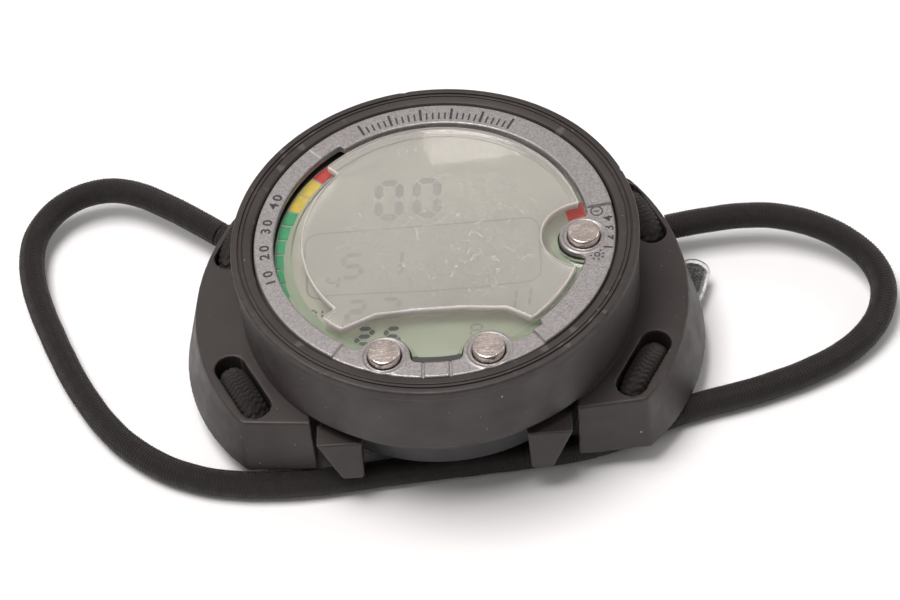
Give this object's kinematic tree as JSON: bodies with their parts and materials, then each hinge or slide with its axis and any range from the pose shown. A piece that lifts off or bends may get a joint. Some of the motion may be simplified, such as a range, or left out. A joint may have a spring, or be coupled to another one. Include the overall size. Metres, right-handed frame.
{
  "type": "dive computer",
  "caption": "Round wrist dive computer with a clear display window and push buttons, held in a winged rubber boot laced with a looped bungee wrist cord.",
  "frame": {"origin": "centre of the battery door's outer face, which the computer rests on; centre of the computer without its cord", "axes": "+Z out of the display, +X towards the side button, -Y towards the two lower buttons (6 o'clock)"},
  "size_m": [0.1488, 0.0715, 0.0305],
  "materials": {
    "chip_black": "matt",
    "backlight_white": "matt",
    "cell_steel": "bright",
    "spring_steel": "bright",
    "door_plastic": "fine matt",
    "seal_rubber": "satin",
    "boot_rubber": "satin charcoal moulded rubber",
    "bungee_cord": "braided, slightly fuzzy",
    "button_steel": "polished with fine scratches",
    "buzzer_brass": "satin",
    "case_plastic": "fine matt",
    "board_green": "solder mask",
    "can_metal": "satin",
    "dial_black": "matt",
    "clear_plastic": "clear, lightly scuffed",
    "silver_plate": "fine metallic flake",
    "lcd_glass": "grey-green",
    "print_green": "printed",
    "print_red": "printed",
    "print_yellow": "printed"
  },
  "bodies": {
    "module": {"backlight_coil": "chip_black", "backlight_panel": "backlight_white", "battery_cell": "cell_steel", "battery_contact_spring": "spring_steel", "battery_door": "door_plastic", "battery_door_seal": "seal_rubber", "boot": "boot_rubber", "bungee_knot_left": "bungee_cord", "bungee_knot_right": "bungee_cord", "bungee_lacing_left": "bungee_cord", "bungee_lacing_right": "bungee_cord", "bungee_loop": "bungee_cord", "bungee_tail": "bungee_cord", "button_seal_left": "seal_rubber", "button_seal_right": "seal_rubber", "button_seal_side": "seal_rubber", "button_spring_left": "spring_steel", "button_spring_right": "spring_steel", "button_spring_side": "spring_steel", "buzzer": "buzzer_brass", "case_back": "case_plastic", "case_body": "case_plastic", "case_gasket": "seal_rubber", "case_screws": "spring_steel", "circuit_board": "board_green", "clock_crystal": "can_metal", "dial_ring": "dial_black", "face_plate": "silver_plate", "lcd_frame": "case_plastic", "lcd_panel": "lcd_glass", "microcontroller": "chip_black", "pressure_sensor": "can_metal", "scale_bars_green": "print_green", "scale_bars_red": "print_red", "scale_bars_yellow": "print_yellow", "tact_switches": "chip_black", "tail_sleeve": "clear_plastic", "window_lens": "clear_plastic", "zebra_strips": "seal_rubber"},
    "button_left": {"button_left": "button_steel", "button_clip_left": "spring_steel"},
    "button_right": {"button_right": "button_steel", "button_clip_right": "spring_steel"},
    "button_side": {"button_side": "button_steel", "button_clip_side": "spring_steel"},
    "lock_ring": {"battery_lock_ring": "door_plastic"},
    "shield": {"display_shield": "clear_plastic"}
  },
  "joints": [
    {"name": "button_left_press", "type": "slide", "parent": "module", "child": "button_left", "axis": [0, 0, -1], "range_m": [0, 0.0007], "stiffness_N_per_m": 500, "springref_m": -0.002, "deforming": ["button_spring_left"]},
    {"name": "button_right_press", "type": "slide", "parent": "module", "child": "button_right", "axis": [0, 0, -1], "range_m": [0, 0.0007], "stiffness_N_per_m": 500, "springref_m": -0.002, "deforming": ["button_spring_right"]},
    {"name": "button_side_press", "type": "slide", "parent": "module", "child": "button_side", "axis": [0, 0, -1], "range_m": [0, 0.0007], "stiffness_N_per_m": 500, "springref_m": -0.002, "deforming": ["button_spring_side"]},
    {"name": "battery_lock_turn", "type": "hinge", "parent": "module", "child": "lock_ring", "pos_m": [0, 0, 0], "axis": [0, 0, 1], "range_deg": [0, 25]},
    {"name": "shield_lift", "type": "slide", "parent": "module", "child": "shield", "axis": [0, 0, 1], "range_m": [0, 0.012]}
  ]
}
